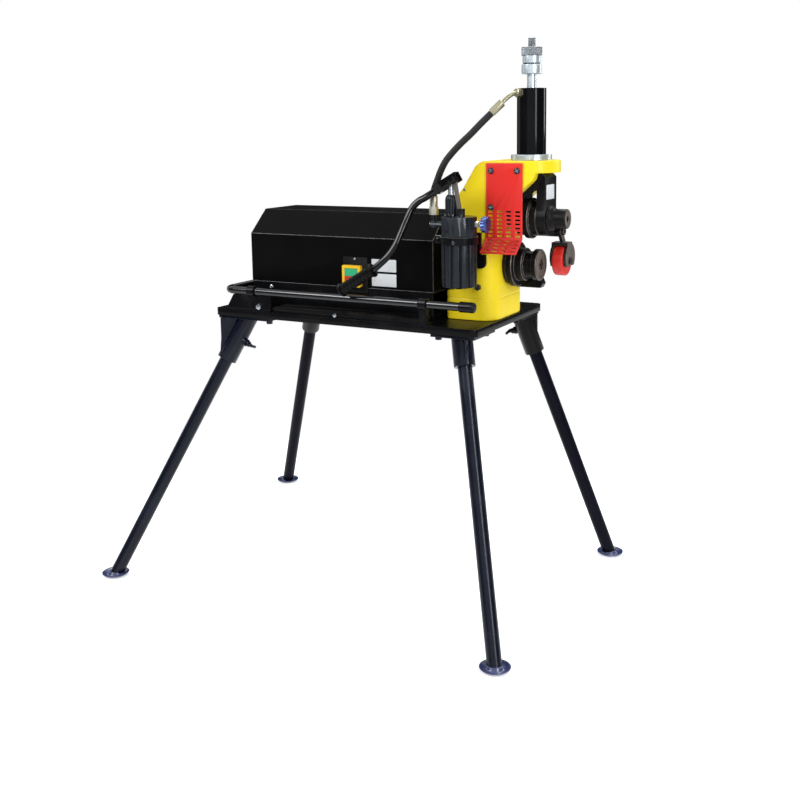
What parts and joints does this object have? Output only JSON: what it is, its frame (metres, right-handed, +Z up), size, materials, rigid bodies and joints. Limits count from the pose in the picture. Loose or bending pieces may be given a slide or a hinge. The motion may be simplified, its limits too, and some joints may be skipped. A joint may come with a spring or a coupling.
{
  "type": "roll grooving machine",
  "caption": "Roll groover on splayed legs: a hand-pumped ram presses a grooving roll onto a pipe end that lies on a motor-driven roll.",
  "frame": {"origin": "on the floor, at the middle of the outline of the four feet", "axes": "+X along the table towards the rolls, +Y away from the pump and the switch, +Z up"},
  "size_m": [1.214, 0.892, 1.3649],
  "materials": {
    "black_paint": "gloss black paint",
    "yellow_paint": "gloss yellow paint",
    "red_paint": "gloss red paint",
    "dark_steel": "black oxide, lightly oiled",
    "bright_steel": "bright plated",
    "zinc_steel": "yellow zinc plate",
    "pump_paint": "satin blue-black paint",
    "black_rubber": "matte black rubber",
    "red_polymer": "satin red plastic",
    "green_polymer": "gloss green plastic",
    "yellow_polymer": "gloss yellow plastic",
    "black_polymer": "matte black plastic",
    "motor_grey": "satin grey paint"
  },
  "bodies": {
    "stand_and_frame": {"table_plate": "black_paint", "leg_socket_front_left": "black_paint", "leg_socket_back_left": "black_paint", "leg_socket_front_right": "black_paint", "leg_socket_back_right": "black_paint", "head_frame": "yellow_paint", "cylinder_flange": "bright_steel", "ram_cylinder": "black_paint", "spindle_bearing_cover": "dark_steel", "pipe_stop_block": "black_paint", "front_guard": "red_paint", "motor_cover": "black_paint", "motor_base": "black_paint", "gear_motor": "motor_grey", "cable_gland": "black_polymer", "switch_plate": "black_polymer", "switch_bezel": "yellow_polymer", "carry_bar": "black_paint", "bar_cap_front": "black_rubber", "bar_cap_rear": "black_rubber", "bar_bracket_front_right": "black_paint", "bar_bracket_front_left": "black_paint", "bar_bracket_rear_right": "black_paint", "bar_bracket_rear_left": "black_paint", "pump_tank": "pump_paint", "pump_head": "pump_paint", "pump_band": "black_paint", "pump_bracket": "black_paint", "plunger_sleeve": "pump_paint", "pump_link": "bright_steel", "hydraulic_hose": "black_rubber", "hose_end_cylinder": "zinc_steel", "hose_end_pump": "zinc_steel"},
    "press_slide": {"ram_rod": "bright_steel", "slide_yoke": "dark_steel", "upper_shaft": "dark_steel"},
    "depth_nut": {"depth_nut": "bright_steel"},
    "depth_collar": {"depth_collar": "bright_steel"},
    "upper_roll": {"upper_roll": "dark_steel"},
    "drive_train": {"drive_spindle": "bright_steel", "coupling": "dark_steel", "drive_roll": "dark_steel", "draw_bolt": "dark_steel"},
    "stabiliser_arm": {"stabiliser_arm": "dark_steel", "stabiliser_pin": "dark_steel"},
    "stabiliser_roller": {"stabiliser_roller": "red_polymer"},
    "pump_lever": {"pump_lever": "black_paint", "lever_grip": "black_rubber"},
    "plunger": {"plunger_rod": "bright_steel"},
    "release_knob": {"release_knob": "bright_steel"},
    "start_button": {"start_button": "green_polymer"},
    "stop_button": {"stop_button": "red_polymer"},
    "leg_front_left": {"leg_front_left": "black_paint"},
    "leg_back_left": {"leg_back_left": "black_paint"},
    "leg_front_right": {"leg_front_right": "black_paint"},
    "leg_back_right": {"leg_back_right": "black_paint"},
    "clamp_front_left": {"thumb_screw_front_left": "black_paint"},
    "clamp_back_left": {"thumb_screw_back_left": "black_paint"},
    "clamp_front_right": {"thumb_screw_front_right": "black_paint"},
    "clamp_back_right": {"thumb_screw_back_right": "black_paint"}
  },
  "joints": [
    {"name": "ram_slide", "type": "slide", "parent": "stand_and_frame", "child": "press_slide", "axis": [0, 0, -1], "range_m": [0, 0.028]},
    {"name": "depth_nut_turn", "type": "hinge", "parent": "press_slide", "child": "depth_nut", "pos_m": [0.461, -0.005, 1.3], "axis": [0, 0, 1], "continuous": true},
    {"name": "depth_collar_turn", "type": "hinge", "parent": "press_slide", "child": "depth_collar", "pos_m": [0.461, -0.005, 1.332], "axis": [0, 0, 1], "continuous": true},
    {"name": "upper_roll_spin", "type": "hinge", "parent": "press_slide", "child": "upper_roll", "pos_m": [0.462, -0.005, 0.941], "axis": [1, 0, 0], "continuous": true},
    {"name": "drive_roll_spin", "type": "hinge", "parent": "stand_and_frame", "child": "drive_train", "pos_m": [0.442, -0.005, 0.829], "axis": [1, 0, 0], "continuous": true},
    {"name": "stabiliser_swing", "type": "hinge", "parent": "press_slide", "child": "stabiliser_arm", "pos_m": [0.515, 0.047, 0.907], "axis": [1, 0, 0], "range_deg": [0, 40]},
    {"name": "stabiliser_roller_spin", "type": "hinge", "parent": "stabiliser_arm", "child": "stabiliser_roller", "pos_m": [0.513, 0.067, 0.833], "axis": [1, 0, 0], "continuous": true},
    {"name": "pump_lever_swing", "type": "hinge", "parent": "stand_and_frame", "child": "pump_lever", "pos_m": [0.334, -0.1556, 1.041], "axis": [0, 1, 0], "range_deg": [0, 55]},
    {"name": "plunger_slide", "type": "slide", "parent": "stand_and_frame", "child": "plunger", "axis": [0, 0, 1], "range_m": [0, 0.0135]},
    {"name": "release_knob_turn", "type": "hinge", "parent": "stand_and_frame", "child": "release_knob", "pos_m": [0.4, -0.1556, 0.936], "axis": [1, 0, 0], "range_deg": [0, 180]},
    {"name": "start_button_press", "type": "slide", "parent": "stand_and_frame", "child": "start_button", "axis": [0, 1, 0], "range_m": [0, 0.003], "stiffness_N_per_m": 700, "springref_m": -0.002},
    {"name": "stop_button_press", "type": "slide", "parent": "stand_and_frame", "child": "stop_button", "axis": [0, 1, 0], "range_m": [0, 0.003], "stiffness_N_per_m": 700, "springref_m": -0.002},
    {"name": "leg_front_left_slide", "type": "slide", "parent": "stand_and_frame", "child": "leg_front_left", "axis": [-0.364, -0.3198, -0.8748], "range_m": [0, 0.1]},
    {"name": "leg_back_left_slide", "type": "slide", "parent": "stand_and_frame", "child": "leg_back_left", "axis": [-0.3852, 0.3314, -0.8613], "range_m": [0, 0.09]},
    {"name": "leg_front_right_slide", "type": "slide", "parent": "stand_and_frame", "child": "leg_front_right", "axis": [0.2602, -0.3303, -0.9073], "range_m": [0, 0.06]},
    {"name": "leg_back_right_slide", "type": "slide", "parent": "stand_and_frame", "child": "leg_back_right", "axis": [0.2812, 0.2074, -0.937], "range_m": [0, 0.09]},
    {"name": "clamp_front_left_turn", "type": "hinge", "parent": "stand_and_frame", "child": "clamp_front_left", "pos_m": [-0.24091, -0.19125, 0.60118], "axis": [0.9314, -0.125, -0.3418], "range_deg": [0, 720]},
    {"name": "clamp_back_left_turn", "type": "hinge", "parent": "stand_and_frame", "child": "clamp_back_left", "pos_m": [-0.23812, 0.17405, 0.61569], "axis": [0.9228, 0.1384, -0.3595], "range_deg": [0, 720]},
    {"name": "clamp_front_right_turn", "type": "hinge", "parent": "stand_and_frame", "child": "clamp_front_right", "pos_m": [0.35184, -0.13196, 0.61023], "axis": [-0.2246, 0.8932, -0.3896], "range_deg": [0, 720]},
    {"name": "clamp_back_right_turn", "type": "hinge", "parent": "stand_and_frame", "child": "clamp_back_right", "pos_m": [0.32887, 0.16717, 0.62257], "axis": [-0.9596, 0.0608, -0.2746], "range_deg": [0, 720]}
  ],
  "couplings": [
    {"joint": "plunger_slide", "follows": "pump_lever_swing", "m_per_rad": 0.0134}
  ]
}
